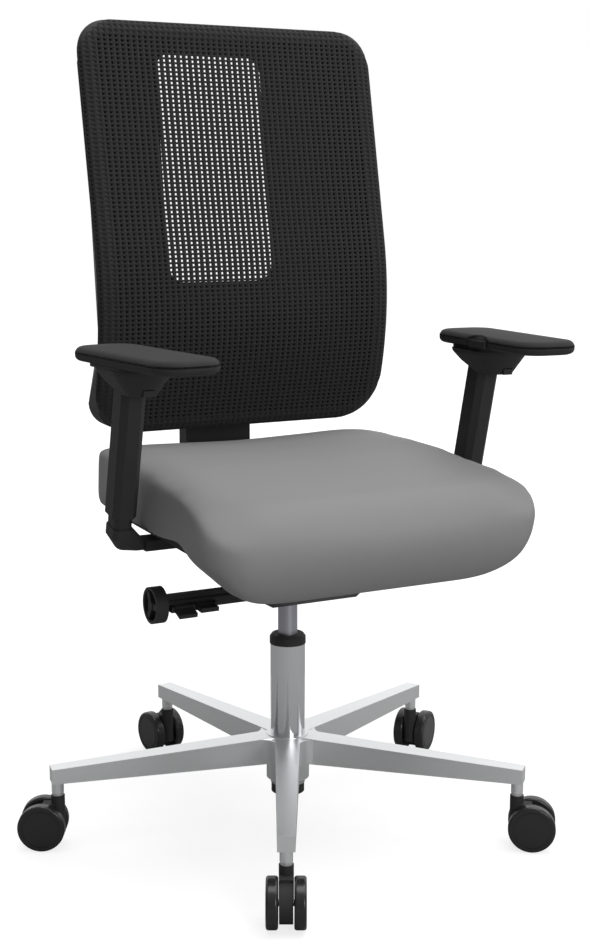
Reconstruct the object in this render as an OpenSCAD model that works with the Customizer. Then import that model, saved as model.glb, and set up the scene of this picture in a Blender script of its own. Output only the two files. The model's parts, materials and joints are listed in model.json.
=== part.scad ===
// Office swivel chair: net back, upholstered seat, height-adjustable arms, star base on twin-wheel castors.
// Frame: millimetres, +Z up, origin on the floor under the column axis, the sitter faces -Y.
// "right" and "left" are the sitter's own; right is -X.

/* [Star base] */
// Radius of the circle through the castor stems
base_r = 337; // [300:1:360]
// Turn of the base against the seat, in degrees
base_yaw = -28; // [-180:1:180]
// Height of the top of the hub
hub_top_z = 131; // [126:1:140]
// Height of the underside of the hub
hub_bottom_z = 64; // [60:1:70]
// Wall of the hub around the column tube
hub_wall = 6; // [4:0.5:10]
// Width of an arm at the hub
arm_w_hub = 37; // [32:1:42]
// Width of an arm at its tip
arm_w_tip = 23; // [20:1:28]
// Depth of an arm at the hub
arm_h_hub = 40; // [34:1:44]
// Depth of an arm at its tip
arm_h_tip = 21; // [18:1:24]
// Fall of an arm's top from the hub to the tip
arm_fall = 16; // [8:1:18]
// Length of an arm past the castor stem
arm_over = 9; // [8:1:14]
// Radius of the webs between the arms
web_r = 22; // [16:1:28]

/* [Column] */
// Outer diameter of the column tube
tube_d = 50; // [46:1:52]
// Wall of the column tube
tube_wall = 2; // [1.5:0.5:3]
// Height of the top of the column tube
tube_top_z = 265; // [255:1:280]
// Diameter of the gas cylinder
cyl_d = 28; // [26:1:30]
// Diameter of the piston rod
rod_d = 10; // [8:1:12]
// Height of the collar above the tube
collar_h = 14; // [8:1:16]

/* [Castors] */
// Diameter of a castor wheel
wheel_d = 66; // [58:1:68]
// Width of one wheel
wheel_w = 15.5; // [13:0.5:17]
// Width of a castor over both wheels
castor_w = 51; // [50:0.5:56]
// Distance from the stem to the axle
trail = 21.5; // [18:0.5:25]
// Diameter of the stem
stem_d = 11; // [10:0.5:11]
// Diameter of the axle
axle_d = 8; // [6:0.5:9]

/* [Seat] */
// Half width of the cushion at the front
seat_half_front = 250; // [235:1:262]
// Half width of the cushion at the rear
seat_half_rear = 230; // [210:1:242]
// Y of the rear of the cushion
seat_rear_y = 208; // [195:1:212]
// Y of the middle of the front roll
roll_y = -219; // [-225:1:-205]
// Radius of the front roll
roll_r = 66; // [58:1:68]
// Height of the middle of the front roll
roll_z = 453; // [450:1:458]
// Height of the flat underside of the cushion
seat_under_z = 458; // [456:1:462]
// Height of the crown of the cushion
seat_top_z = 547; // [530:1:560]
// Radius of the cushion's rear corners in plan
seat_rear_r = 72; // [50:1:90]
// Radius of the cushion's front corners in plan
seat_front_r = 52; // [40:1:70]
// Radius of the cushion's lower edges at the front roll
seat_lower_r = 120; // [80:1:130]
// Thickness of the seat pan
pan_t = 9; // [6:1:12]

/* [Back] */
// Half width of the back
back_half = 233; // [215:1:250]
// Height of the bottom of the back
back_low_z = 560; // [556:1:570]
// Height of the top of the back
back_high_z = 1143; // [1125:1:1160]
// Y of the front of the back at its lumbar bend
lumbar_y = 112; // [106:1:125]
// Height of the lumbar bend
lumbar_z = 745; // [720:1:770]
// Lean of the upper back, in degrees
lean_up = 11.5; // [8:0.5:15]
// Lean of the lower back, in degrees
lean_low = 16.5; // [12:0.5:18]
// Radius of the lumbar bend
bend_r = 450; // [380:5:520]
// Y of the shell's rear face at the lumbar bend
shell_y = 212; // [205:1:214]
// Lean of the shell, in degrees
shell_lean = 7.5; // [6:0.5:8]
// How far the shell's rear face is narrower than the back on each side, at its top
shell_in_top = 40; // [30:1:60]
// The same at its waist
shell_in_waist = 31; // [20:1:45]
// The same at its foot
shell_in_foot = 9; // [6:1:30]
// Height of the shell's waist
waist_z = 695; // [670:1:720]
// Radius of the back's upper corners
back_upper_r = 46; // [36:1:60]
// Radius of the back's lower corners
back_lower_r = 62; // [44:1:70]
// Half width of the shell's window
window_half = 86; // [70:1:100]
// Height of the bottom of the window
window_low_z = 772; // [770:1:800]
// Height of the top of the window
window_high_z = 1105; // [1000:1:1110]
// Radius of the window's corners
window_r = 26; // [10:1:40]

/* [Arms] */
// Distance from the widest part of the cushion to the middle of an arm post
arm_gap = 21; // [19:1:30]
// Lean of the arm posts towards the front, in degrees
post_lean = 13.8; // [8:0.2:16]
// Height of the bottom of the sleeve
sleeve_low_z = 487; // [482:1:500]
// Height of the top of the sleeve
sleeve_high_z = 664; // [655:1:675]
// Width of the sleeve
sleeve_w = 34; // [30:1:36]
// Depth of the sleeve
sleeve_d = 42; // [38:1:46]
// Wall of the sleeve
sleeve_wall = 4.5; // [3:0.5:6]
// Width of an arm pad
pad_w = 90; // [80:1:96]
// Length of an arm pad
pad_l = 266; // [230:1:280]
// Thickness of an arm pad
pad_t = 21; // [18:1:26]
// Y of the middle of an arm pad
pad_y = -136; // [-150:1:-120]
// How far the pads turn in at the front, in degrees
pad_toe = 5; // [0:1:8]

/* [Controls] */
// Diameter of the tension knob
knob_d = 50; // [40:1:54]
// Thickness of the tension knob
knob_t = 17; // [12:1:20]
// X of the outer face of the knob
knob_x = -233; // [-245:1:-220]
// Y of the control bar
control_y = -48; // [-60:1:-40]
// Height of the control bar
control_z = 359; // [357:1:361]

/* [Hidden] */
$fn = 48;

fit = 0.05;           // radial play of a pin or shaft
play = 0.4;           // play between sliding parts
eps = 0.3;            // air between parts that only pass each other
big = 900;            // longer than anything that is cut

// Directions of the base arms and of the castors' trail, in degrees from the front of the base
arm_angles = [0, 72, 144, -144, -72];
trail_angles = [0, 82, 156, -144, -90];

hub_d = tube_d + 2 * hub_wall;
arm_tip_r = base_r + arm_over;
tip_top_z = hub_top_z - arm_fall;
tip_under_z = tip_top_z - arm_h_tip;
web_inset = 2.5;      // how far the webs stay inside the arms' edges
web_drop = 2.6;       // how far the webs stay under the hub's top
boss_d = stem_d + 6;
stem_hole_top = 108;

wheel_r = wheel_d / 2;
wheel_gap = 1.2;      // air between a wheel and its housing
tread_r = 3.5;        // rounding of the tread's edges
housing_w = castor_w - 2 * (wheel_w + wheel_gap);
housing_inset = 14;   // how much less across the housing's disc is than the wheel
neck_d = housing_w + 1.5;
neck_top = wheel_d + 8.7;
flange_t = 4;
boss_z = neck_top + flange_t + eps; // lower end of the boss over each castor
stem_foot = 8;        // height of the stem's foot over the axle
axle_inset = 4;       // how far the axle's ends lie inside the wheels

tube_low_z = 56;
clip_h = 14;
clip_wall = 6;
collar_cone = 4;
tube_floor = 6;
guide_len = 70;
cyl_low_z = 120;
cyl_top_z = 352;
rod_low_z = 58;
rod_top_z = 250;
bore_top_z = 312;

house_half = 66;
house_front = -112;
house_rear = 118;
house_low = 343;
house_high = 396;
house_wall = 5;
house_chin = [30, 22]; // slope under the housing's front
house_tail = [34, 24]; // slope under its rear
socket_wall = 8;      // wall of the socket for the gas cylinder
socket_drop = 14;
socket_h = 36;
pivot_d = 16;
seat_pivot = [-88, 380];
back_pivot = [88, 378];
lug_t = 8;
lug_gap = 2;
lug_d = 28;
lug_x = house_half + lug_gap + lug_t / 2; // middle of a lug
pin_over = 1;         // how far a pin stands out past its lugs
pin_x = house_half + lug_gap + lug_t + pin_over;
pin_head = [3, 6];    // thickness of a pin's head, and how much wider it is

pan_lip = 150;
rail_z = seat_under_z - pan_t;
rail_t = 14;
rail_w = 40;
post_x = seat_half_front + arm_gap;
rail_half = post_x - 31;
relief_l = 60;        // how far the rail's relief stays from its ends
relief_d = 6;
bolt_x = [-185, -145, 145, 185];
bolt_d = 6;
bolt_head = [4, 5];   // height of a bolt's head, and how much wider it is

carrier_half = 54;
carrier_front = 229;
carrier_t = 26;
carrier_top_z = 742;
carrier_foot_z = 400;
bridge_y = [130, 170];
bridge_z = [388, 410];
guide_wall = 6;
guide_low_z = 604;
guide_high_z = 752;

sleeve_cut = 8;
stem_w = sleeve_w - 2 * sleeve_wall;
stem_depth = sleeve_d - 2 * sleeve_wall;
stem_cut = sleeve_cut - 2.5;
stem_top_z = sleeve_high_z - 34;
elbow_z = rail_z - rail_t + 2;
elbow_d = 28;
post_slope = tan(post_lean);
post_foot_y = -35;
post_foot_z = 450;
bowl_y = -100;        // middle of the bowl under a pad
bowl_layers = [[20, 80, 124, 0, 38], [16, 78, 120, 0, 37], [4, 62, 98, -3, 30], [-12, 38, 58, -12, 18]];
lobe_z = sleeve_high_z - 12;
lobe_y = bowl_y - 12 - 29;
button_w = 14;
button_l = 14;
button_h = 8;
press = 2;            // travel of a button
pad_base_z = sleeve_high_z + 21 + play;
pad_plate_t = 4;
plate_w = pad_w - 14;
plate_l = 136;
tongue = [20, 40, 4.5];
pad_travel = 19;
pad_low_z = pad_base_z + pad_plate_t;
pad_r = 34;
pad_edge = 7;
key_l = 44;           // length of the pad's button
key_h = 10;
key_wall = 1.5;

lever_w = 26;
lever_pin_d = 5;
lever_gap = 1;
height_lever_x = -203;
tilt_lever_x = -172;
paddle_l = 20;
paddle_t = 6;
lever_y = control_y - 12;
lever_z = control_z - 6;
bar_h = 22;
bar_front = 2;
bar_rear = 9;
ear_t = 4;
ear_reach = 16;
knob_gap = 1;
knob_end = knob_x + knob_t; // X of the knob's inner face
knob_rim = 4;
knob_dish = 8;
knob_hub_d = 14;
spoke_t = 8;
shaft_x = [-house_half - 24, -house_half - 20]; // inner ends of the knob's shaft and of its hole

// ---- helpers ----
function arc(c, r, a0, a1, n) =
    [for (i = [0:n]) let (a = a0 + (a1 - a0) * i / n) [c[0] + r * cos(a), c[1] + r * sin(a)]];
function post_y(z) = post_foot_y - (z - post_foot_z) * post_slope;

// A flat outline in Y and Z, drawn out along X, symmetric about X = 0
module side(half) {
    rotate([90, 0, 90]) translate([0, 0, -half]) linear_extrude(2 * half) children();
}

// A flat outline in X and Z, drawn out along Y from y0 to y1
module front(y0, y1) {
    translate([0, y1, 0]) rotate([90, 0, 0]) linear_extrude(y1 - y0) children();
}

module box(x0, x1, y0, y1, z0, z1) {
    translate([x0, y0, z0]) cube([x1 - x0, y1 - y0, z1 - z0]);
}

module rounded(w, l, r) {
    square([w - 2 * r, l], center = true);
    square([w, l - 2 * r], center = true);
    for (x = [-1, 1], y = [-1, 1]) translate([x * (w / 2 - r), y * (l / 2 - r)]) circle(r);
}

// A rod along X
module rod_x(x0, x1, y, z, d) {
    translate([x0, y, z]) rotate([0, 90, 0]) cylinder(h = x1 - x0, d = d);
}

module at_base() {
    rotate([0, 0, base_yaw]) children();
}

module at_arm(i) {
    at_base() rotate([0, 0, arm_angles[i]]) translate([0, -base_r, 0]) children();
}

// Castor frame: stem on Z, axle at -Y
module at_castor(i) {
    at_base() rotate([0, 0, arm_angles[i]]) translate([0, -base_r, 0])
        rotate([0, 0, trail_angles[i] - arm_angles[i]]) children();
}

module at_side(s) {
    mirror([s < 0 ? 1 : 0, 0, 0]) children();
}

// ---- star base and column ----
module arm_solid() {
    intersection() {
        rotate([90, 0, 90]) translate([0, 0, -arm_w_hub / 2]) linear_extrude(arm_w_hub)
            polygon([[0, hub_top_z], [-arm_tip_r, tip_top_z], [-arm_tip_r, tip_under_z],
                [-hub_d / 2, hub_top_z - arm_h_hub], [0, hub_top_z - arm_h_hub]]);
        linear_extrude(hub_top_z) polygon([[-arm_w_hub / 2, 0], [-arm_w_tip / 2, -arm_tip_r],
            [arm_w_tip / 2, -arm_tip_r], [arm_w_hub / 2, 0]]);
    }
    translate([0, -base_r, boss_z]) cylinder(h = tip_under_z + 4 - boss_z, d = boss_d);
}

// A fillet between an arm and the next one, a little inside both arms' edges
module web_solid() {
    edge = arm_w_hub / 2 - web_inset;
    half = 180 / len(arm_angles);
    reach = (edge + web_r) / sin(half);
    touch = (edge + web_r) / tan(half);
    middle = [reach * sin(half), -reach * cos(half)];
    far = [touch * sin(2 * half) - edge * cos(2 * half), -touch * cos(2 * half) - edge * sin(2 * half)];
    translate([0, 0, hub_top_z - arm_h_hub + 2]) linear_extrude(arm_h_hub - 2 - web_drop) difference() {
        polygon([[0, 0], [edge, -touch], middle, far]);
        translate(middle) circle(web_r);
    }
}

module star_base() {
    color("gainsboro") at_base() difference() {
        union() {
            translate([0, 0, hub_bottom_z]) cylinder(h = hub_top_z - hub_bottom_z, d = hub_d);
            for (a = arm_angles) rotate([0, 0, a]) {
                arm_solid();
                web_solid();
            }
        }
        translate([0, 0, hub_bottom_z - 1]) cylinder(h = hub_top_z, d = tube_d + 2 * fit);
        for (a = arm_angles) rotate([0, 0, a]) translate([0, -base_r, boss_z - 1])
            cylinder(h = stem_hole_top - boss_z + 1, d = stem_d + 2 * fit);
    }
}

module column_tube() {
    color("lightgray") difference() {
        translate([0, 0, tube_low_z]) cylinder(h = tube_top_z - tube_low_z, d = tube_d);
        translate([0, 0, tube_low_z + tube_floor]) cylinder(h = tube_top_z, d = tube_d - 2 * tube_wall);
        translate([0, 0, tube_low_z - 1]) cylinder(h = tube_floor + 2, d = rod_d + 2 * fit);
    }
}

module column_collar() {
    color("dimgray") difference() {
        union() {
            translate([0, 0, tube_top_z]) cylinder(h = collar_h - collar_cone, d = tube_d + 2);
            translate([0, 0, tube_top_z + collar_h - collar_cone])
                cylinder(h = collar_cone, d1 = tube_d + 2, d2 = tube_d - collar_cone);
            translate([0, 0, tube_top_z - guide_len]) cylinder(h = guide_len, d = tube_d - 2 * tube_wall);
        }
        translate([0, 0, tube_top_z - guide_len - 1]) cylinder(h = guide_len + collar_h + 2, d = cyl_d + 2 * fit);
    }
}

module column_clip() {
    color("black") translate([0, 0, tube_low_z - clip_h]) difference() {
        cylinder(h = clip_h, d = tube_d - 2);
        translate([0, 0, clip_h - 10]) cylinder(h = clip_h, d = tube_d - 2 - 2 * clip_wall);
    }
}

module piston_rod() {
    color("silver") {
        translate([0, 0, rod_low_z - 3]) cylinder(h = rod_top_z - rod_low_z + 3, d = rod_d);
        translate([0, 0, rod_low_z - 8]) cylinder(h = 5.5, d = rod_d + 8);
    }
}

module gas_cylinder() {
    color("gray") difference() {
        translate([0, 0, cyl_low_z]) cylinder(h = cyl_top_z - cyl_low_z, d = cyl_d);
        translate([0, 0, cyl_low_z - 1]) cylinder(h = bore_top_z - cyl_low_z + 1, d = rod_d + 2 * fit);
    }
}

// ---- mechanism under the seat ----
module mechanism_housing() {
    w = house_wall + 1;
    color([0.12, 0.12, 0.13]) difference() {
        union() {
            difference() {
                side(house_half) polygon([[house_front, house_high], [house_front, house_low + house_chin[1]],
                    [house_front + house_chin[0], house_low], [house_rear - house_tail[0], house_low],
                    [house_rear, house_low + house_tail[1]], [house_rear, house_high]]);
                side(house_half - house_wall) polygon([[house_front + w, house_high + 1],
                    [house_front + w, house_low + house_chin[1] + 2],
                    [house_front + house_chin[0] + w / 2, house_low + house_wall],
                    [house_rear - house_tail[0] - w / 2, house_low + house_wall],
                    [house_rear - w, house_low + house_tail[1] + 2], [house_rear - w, house_high + 1]]);
            }
            translate([0, 0, house_low - socket_drop]) cylinder(h = socket_h, d = cyl_d + 2 * socket_wall);
            rod_x(-pin_x, pin_x, seat_pivot[0], seat_pivot[1], pivot_d);
        }
        translate([0, 0, house_low - socket_drop - 1])
            cylinder(h = cyl_top_z - house_low + socket_drop + 1, d = cyl_d + 2 * fit);
        rod_x(-big / 2, big / 2, back_pivot[0], back_pivot[1], pivot_d + 2 * fit);
    }
}

module recline_axle() {
    color("silver") {
        rod_x(-pin_x, pin_x, back_pivot[0], back_pivot[1], pivot_d);
        for (s = [0, 1]) mirror([s, 0, 0])
            rod_x(pin_x, pin_x + pin_head[0], back_pivot[0], back_pivot[1], pivot_d + pin_head[1]);
    }
}

module control_bar() {
    ear_x = [height_lever_x - ear_t - lever_gap, tilt_lever_x - ear_t - lever_gap,
        tilt_lever_x + lever_w + lever_gap];
    color([0.1, 0.1, 0.1]) {
        difference() {
            union() {
                box(knob_end + ear_t, -house_half, control_y - bar_front, control_y + bar_rear,
                    control_z - bar_h / 2, control_z + bar_h / 2);
                rod_x(knob_end + knob_gap, knob_end + ear_t + 1, control_y, control_z, bar_h);
                for (x = ear_x)
                    box(x, x + ear_t, control_y - ear_reach, control_y, lever_z - ear_t, lever_z + ear_t);
            }
            rod_x(knob_x, shaft_x[1], control_y, control_z, rod_d + 2 * fit);
        }
        rod_x(ear_x[0], ear_x[2] + ear_t, lever_y, lever_z, lever_pin_d);
    }
}

module tension_knob() {
    face = knob_d - 2 * knob_rim;
    color([0.09, 0.09, 0.09]) {
        rod_x(knob_end - 1, shaft_x[0], control_y, control_z, rod_d);
        difference() {
            rod_x(knob_x, knob_end, control_y, control_z, knob_d);
            difference() {
                rod_x(knob_x - 1, knob_x + knob_dish, control_y, control_z, face);
                rod_x(knob_x - 2, knob_x + knob_dish + 1, control_y, control_z, knob_hub_d);
                for (a = [90, 210, 330]) translate([knob_x + 1, control_y, control_z]) rotate([a, 0, 0])
                    translate([0, -spoke_t / 2, 0]) cube([knob_dish + 1, spoke_t, face / 2 + 1]);
            }
        }
    }
}

// A paddle that turns on the pin in front of the control bar
module paddle(x0, w, drop) {
    translate([x0 + w / 2, lever_y, lever_z]) side(w / 2) difference() {
        union() {
            circle(d = 2 * lever_pin_d);
            rotate(drop) translate([-paddle_l, -paddle_t / 2]) square([paddle_l, paddle_t]);
        }
        circle(d = lever_pin_d + 2 * fit);
    }
}

module height_lever() {
    color([0.08, 0.08, 0.08]) paddle(height_lever_x, lever_w, 20);
}

module tilt_lever() {
    color([0.08, 0.08, 0.08]) paddle(tilt_lever_x, lever_w, 4);
}

// ---- seat ----
module seat_plan(inset) {
    r = seat_rear_r - inset;
    rf = seat_front_r - min(inset, 20);
    xr = seat_half_rear - inset;
    xf = seat_half_front - inset;
    yr = seat_rear_y - inset;
    yf = roll_y - roll_r + inset;
    polygon(concat(
        arc([xr - r, yr - r], r, 0, 90, 12), arc([-xr + r, yr - r], r, 90, 180, 12),
        arc([-xf + rf, yf + rf], rf, 180, 270, 12), arc([xf - rf, yf + rf], rf, 270, 360, 12)));
}

// Underside of the cushion, pushed down by drop, from the rear to where the pan ends
function seat_line(drop) = [
    [seat_rear_y + 10, seat_under_z - drop],
    [roll_y + 45, seat_under_z - drop],
    [roll_y + 12, seat_under_z - 44 - drop]];

function seat_top() = concat(
    arc([seat_rear_y - 34, seat_top_z - 40], 34, 0, 80, 8),
    [[90, seat_top_z - 1], [20, seat_top_z], [-60, seat_top_z - 6], [-125, seat_top_z - 17]],
    arc([roll_y, roll_z], roll_r, 78, 262, 24));

module seat_cushion() {
    low = roll_z - roll_r - 1;
    color("gray") intersection() {
        side(seat_half_front + 1)
            polygon(concat(seat_top(), [[roll_y + 45, seat_under_z], [seat_rear_y, seat_under_z]]));
        translate([0, 0, seat_under_z - 100]) linear_extrude(300) seat_plan(0);
        front(-300, 300) polygon(concat(
            arc([seat_half_front - 42, seat_top_z - 42], 42, 0, 78, 8), [[120, seat_top_z], [-120, seat_top_z]],
            arc([-seat_half_front + 42, seat_top_z - 42], 42, 102, 180, 8),
            [[-big, seat_under_z], [-big, seat_under_z - 6]],
            arc([-seat_half_front + seat_lower_r, low + seat_lower_r], seat_lower_r, 210, 270, 10),
            arc([seat_half_front - seat_lower_r, low + seat_lower_r], seat_lower_r, 270, 330, 10),
            [[big, seat_under_z - 6], [big, seat_under_z]]));
    }
}

module pan_lug(s) {
    translate([s * lug_x, 0, 0]) side(lug_t / 2) polygon([[seat_pivot[0] - lug_d / 2 - 8, rail_z + 1],
        [seat_pivot[0] - lug_d / 2, seat_pivot[1]], [seat_pivot[0] + lug_d / 2, seat_pivot[1]],
        [seat_pivot[0] + lug_d / 2 + 8, rail_z + 1]]);
    rod_x(s * lug_x - lug_t / 2, s * lug_x + lug_t / 2, seat_pivot[0], seat_pivot[1], lug_d);
}

module seat_pan() {
    color([0.07, 0.07, 0.07]) difference() {
        union() {
            intersection() {
                side(big / 2) polygon(concat(seat_line(0), [for (p = [2:-1:0]) seat_line(pan_t)[p]]));
                translate([0, 0, 300]) linear_extrude(300) seat_plan(22);
                linear_extrude(big) polygon([[-big, roll_y + 60], [-pan_lip, roll_y + 40], [-pan_lip, -big],
                    [pan_lip, -big], [pan_lip, roll_y + 40], [big, roll_y + 60], [big, big], [-big, big]]);
            }
            for (s = [-1, 1]) pan_lug(s);
        }
        rod_x(-big / 2, big / 2, seat_pivot[0], seat_pivot[1], pivot_d + 2 * fit);
        for (x = bolt_x) translate([x, post_foot_y, rail_z - 1]) cylinder(h = pan_t - 1, d = bolt_d + 2 * fit);
    }
}

// ---- arms ----
module arm_rail() {
    front_y = post_foot_y - rail_w / 2;
    color([0.1, 0.1, 0.1]) difference() {
        box(-rail_half, rail_half, front_y, front_y + rail_w, rail_z - rail_t, rail_z);
        box(-rail_half + relief_l, rail_half - relief_l, front_y - 1, front_y + relief_d,
            rail_z - rail_t - 1, rail_z + 1);
        for (x = bolt_x) translate([x, post_foot_y, rail_z - rail_t - 1])
            cylinder(h = rail_t + 2, d = bolt_d + 2 * fit);
    }
}

module rail_bolts() {
    color("dimgray") for (x = bolt_x) {
        translate([x, post_foot_y, rail_z - rail_t - bolt_head[0]])
            cylinder(h = bolt_head[0], d = bolt_d + bolt_head[1]);
        translate([x, post_foot_y, rail_z - rail_t]) cylinder(h = rail_t + pan_t - 3, d = bolt_d);
    }
}

// Outline of a post section: a rectangle with cut corners
module post_section(w, d, cut) {
    polygon([[w / 2, d / 2 - cut], [w / 2 - cut, d / 2], [-w / 2 + cut, d / 2], [-w / 2, d / 2 - cut],
        [-w / 2, -d / 2 + cut], [-w / 2 + cut, -d / 2], [w / 2 - cut, -d / 2], [w / 2, -d / 2 + cut]]);
}

// A straight piece of post between two heights, measured along the floor's normal
module post(z0, z1, w, d, cut) {
    len = (z1 - z0) / cos(post_lean);
    translate([post_x, post_y(z0), z0]) rotate([post_lean, 0, 0]) linear_extrude(len) post_section(w, d, cut);
}

module arm_stem(s) {
    color([0.09, 0.09, 0.09]) at_side(s) {
        post(elbow_z + 30, stem_top_z, stem_w, stem_depth, stem_cut);
        hull() {
            post(elbow_z + 20, elbow_z + 34, stem_w + 3, stem_depth + 3, stem_cut);
            translate([post_x - 8, post_foot_y + 4, elbow_z + 12]) sphere(d = elbow_d, $fn = 32);
            translate([rail_half, post_foot_y, elbow_z])
                box(0, 12, 3 - rail_w / 2, rail_w / 2 - 3, 0, rail_t - 2);
        }
    }
}

module sleeve_solid() {
    post(sleeve_low_z, sleeve_high_z, sleeve_w, sleeve_d, sleeve_cut);
}

module arm_sleeve(s) {
    color([0.08, 0.08, 0.08]) at_side(s) difference() {
        sleeve_solid();
        post(sleeve_low_z - 4, stem_top_z + 18, stem_w + 2 * play, stem_depth + 2 * play, stem_cut);
    }
}

// The bowl under a pad: round in plan, with a lobe in front of the sleeve that holds the height button
module arm_carrier(s) {
    color([0.07, 0.07, 0.07]) at_side(s) difference() {
        hull() for (k = bowl_layers) translate([post_x, bowl_y + k[3], sleeve_high_z + k[0]])
            linear_extrude(1) rounded(k[1], k[2], k[4], $fn = 32);
        translate([post_x, bowl_y, pad_base_z - play - tongue[2]])
            linear_extrude(tongue[2] + 2) rounded(tongue[0] + 2 * play, tongue[1] + 2 * pad_travel, 6);
        translate([post_x, lobe_y, lobe_z])
            box(-button_w / 2 - play, button_w / 2 + play, -button_l, button_l - 4, -1, button_h + 1 + play);
        sleeve_solid();
    }
}

module height_button(s) {
    color([0.05, 0.05, 0.05]) at_side(s) translate([post_x, lobe_y, lobe_z + eps])
        box(-button_w / 2, button_w / 2, -6, button_l - 6 - press, 0, button_h);
}

// Frame of a pad: origin in the middle of the pad, turned in with it
module toed() {
    translate([post_x, pad_y, 0]) rotate([0, 0, -pad_toe]) children();
}

module key_box(grow, x0, x1) {
    box(x0, x1, -2 - key_l / 2 - grow, -2 + key_l / 2 + grow,
        pad_low_z + key_wall - grow, pad_low_z + key_wall + key_h + grow);
}

module pad_base(s) {
    color([0.07, 0.07, 0.07]) at_side(s) {
        toed() {
            translate([0, bowl_y - pad_y, pad_base_z]) linear_extrude(pad_plate_t) rounded(plate_w, plate_l, pad_r);
            difference() {
                key_box(key_wall, 3 - pad_w / 2, 14 - pad_w / 2);
                key_box(eps, -pad_w, 0);
            }
        }
        translate([post_x, bowl_y, pad_base_z - tongue[2]])
            linear_extrude(tongue[2]) rounded(tongue[0], tongue[1], 5);
    }
}

module arm_pad(s) {
    color([0.1, 0.1, 0.1]) at_side(s) toed() difference() {
        hull() {
            translate([0, 0, pad_low_z + pad_edge]) linear_extrude(pad_t - 2 * pad_edge)
                rounded(pad_w, pad_l, pad_r, $fn = 40);
            translate([0, 0, pad_low_z]) linear_extrude(pad_t)
                rounded(pad_w - 2 * pad_edge, pad_l - 2 * pad_edge, pad_r - pad_edge, $fn = 40);
        }
        key_box(key_wall + eps, -pad_w, 14 + eps - pad_w / 2);
    }
}

module pad_button(s) {
    color([0.05, 0.05, 0.05]) at_side(s) toed() key_box(0, -1 - pad_w / 2, 8 - pad_w / 2);
}

// ---- back ----
// Front line of the back in Y and Z, pushed to the rear by d
function back_line(d) = let (c = [lumbar_y + bend_r, lumbar_z], r = bend_r - d,
    up = [c[0] - r * cos(lean_up), c[1] + r * sin(lean_up)],
    low = [c[0] - r * cos(lean_low), c[1] - r * sin(lean_low)]) concat(
    [[low[0] + 200 * sin(lean_low), low[1] - 200 * cos(lean_low)]],
    [for (i = [0:12]) let (a = -lean_low + (lean_up + lean_low) * i / 12) [c[0] - r * cos(a), c[1] + r * sin(a)]],
    [[up[0] + 600 * sin(lean_up), up[1] + 600 * cos(lean_up)]]);

// A sheet that follows the back, from depth d0 to depth d1
module back_band(d0, d1) {
    side(back_half + 1) polygon(concat(back_line(d0), [for (i = [len(back_line(d1)) - 1:-1:0]) back_line(d1)[i]]));
}

// Outline of the back seen from the front
module back_outline(inset) {
    x = back_half - inset;
    ru = back_upper_r - min(inset, 20);
    rl = back_lower_r - min(inset, 20);
    polygon(concat(
        arc([x - ru, back_high_z - inset - ru], ru, 0, 90, 14),
        arc([-x + ru, back_high_z - inset - ru], ru, 90, 180, 14),
        arc([-x + rl, back_low_z + inset + rl], rl, 180, 270, 14),
        arc([x - rl, back_low_z + inset + rl], rl, 270, 360, 14)));
}

module back_column(inset) {
    front(-100, 500) back_outline(inset);
}

net_t = 1.6;
frame_t = 11;
frame_w = 22;
shell_wall = 4;
shell_depth = 84;
lumbar_gap = 4;
lumbar_pad_t = 12;
lumbar_pad_w = 300;
lumbar_pad_h = 90;
lumbar_post_x = 90;
lumbar_post_d = 14;
shell_foot_r = 34;

module back_net() {
    color([0.07, 0.07, 0.08]) intersection() {
        back_band(-net_t, 0);
        back_column(1);
    }
}

module back_frame() {
    color([0.15, 0.15, 0.15]) difference() {
        intersection() {
            back_band(0, frame_t);
            back_column(0);
        }
        back_column(frame_w);
    }
}

module window_outline() {
    translate([0, (window_low_z + window_high_z) / 2])
        rounded(2 * window_half, window_high_z - window_low_z, window_r);
}

// Outline of one part of the shell, between two heights, with a half width and a corner radius at each
function shell_ring(low, high) = concat(
    arc([high[1] - high[2], high[0] - high[2]], high[2], 0, 90, 8),
    arc([-high[1] + high[2], high[0] - high[2]], high[2], 90, 180, 8),
    arc([-low[1] + low[2], low[0] + low[2]], low[2], 180, 270, 8),
    arc([low[1] - low[2], low[0] + low[2]], low[2], 270, 360, 8));

// A thin slab in the shell's leaning plane, pushed off its rear face by d towards the front
module shell_slab(d, low, high) {
    translate([0, shell_y - d, lumbar_z]) rotate([90 - shell_lean, 0, 0]) linear_extrude(1)
        translate([0, -lumbar_z]) polygon(shell_ring(low, high));
}

// The shell's full shape, shrunk by t: one part above the waist and one below it, which lap where they cut
module shell_bowl(t) {
    sharp = 1;
    wide = back_half - 3 - t;
    waist = back_half - shell_in_waist - t;
    lap = t > 0 ? 1 : 0;
    reach = shell_depth + 2 * lap;
    hull() {
        shell_slab(t + 1, [waist_z - lap, waist, sharp],
            [back_high_z - 10 - t, back_half - shell_in_top - t, back_upper_r - t]);
        shell_slab(reach, [waist_z - lap, wide, sharp], [back_high_z - 4 - t, wide, back_upper_r - t]);
    }
    hull() {
        shell_slab(t + 1, [back_low_z + 8 + t, back_half - shell_in_foot - t, shell_foot_r - t],
            [waist_z + lap, waist, sharp]);
        shell_slab(reach, [back_low_z + 4 + t, wide, back_upper_r - t], [waist_z + lap, wide, sharp]);
    }
}

// All that lies behind the line of the back at depth d
module behind_back(d) {
    side(big / 2) polygon(concat(back_line(d), [[big, lumbar_z + 600], [big, lumbar_z - 200]]));
}

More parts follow.
